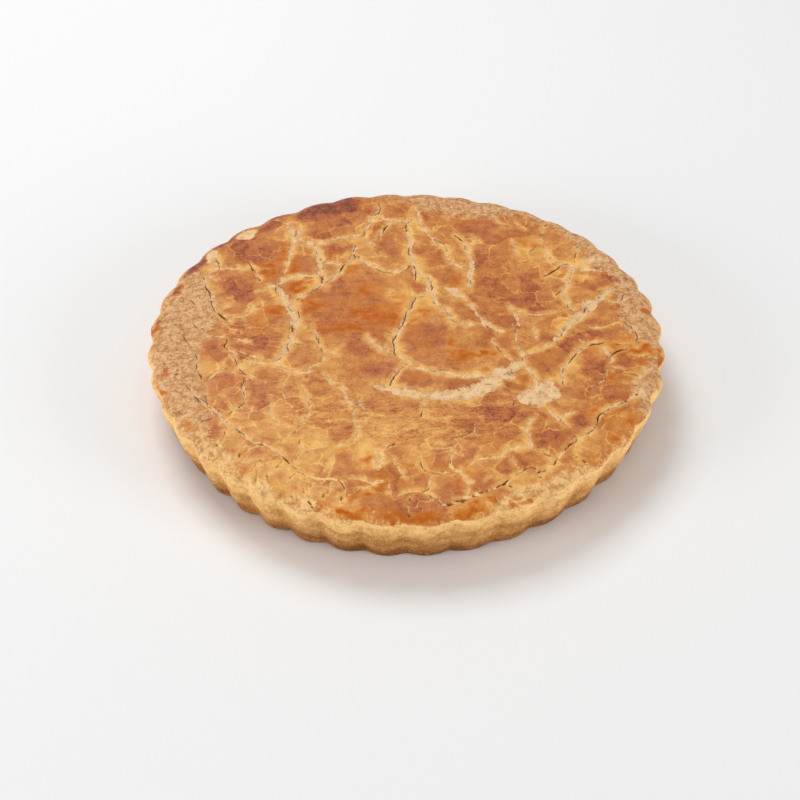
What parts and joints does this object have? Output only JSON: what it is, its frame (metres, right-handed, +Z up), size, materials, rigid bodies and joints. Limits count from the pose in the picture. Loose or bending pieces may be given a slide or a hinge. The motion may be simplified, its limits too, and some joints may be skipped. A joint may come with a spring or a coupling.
{
  "type": "closed savoury pie",
  "caption": "Whole round closed shortcrust pie with a fluted, flaring wall, a rounded lip and a flat glazed lid crossed by baked cracks.",
  "frame": {"origin": "middle of the pie on the flat base that it stands on", "axes": "+Z up through the lid, +X to the right and +Y away as the picture sees the pie"},
  "size_m": [0.23, 0.2296, 0.031],
  "materials": {
    "crust": "satin egg-wash glaze on the lid, matte pale crust on the wall"
  },
  "bodies": {
    "root": {"pie": "crust"}
  },
  "joints": []
}
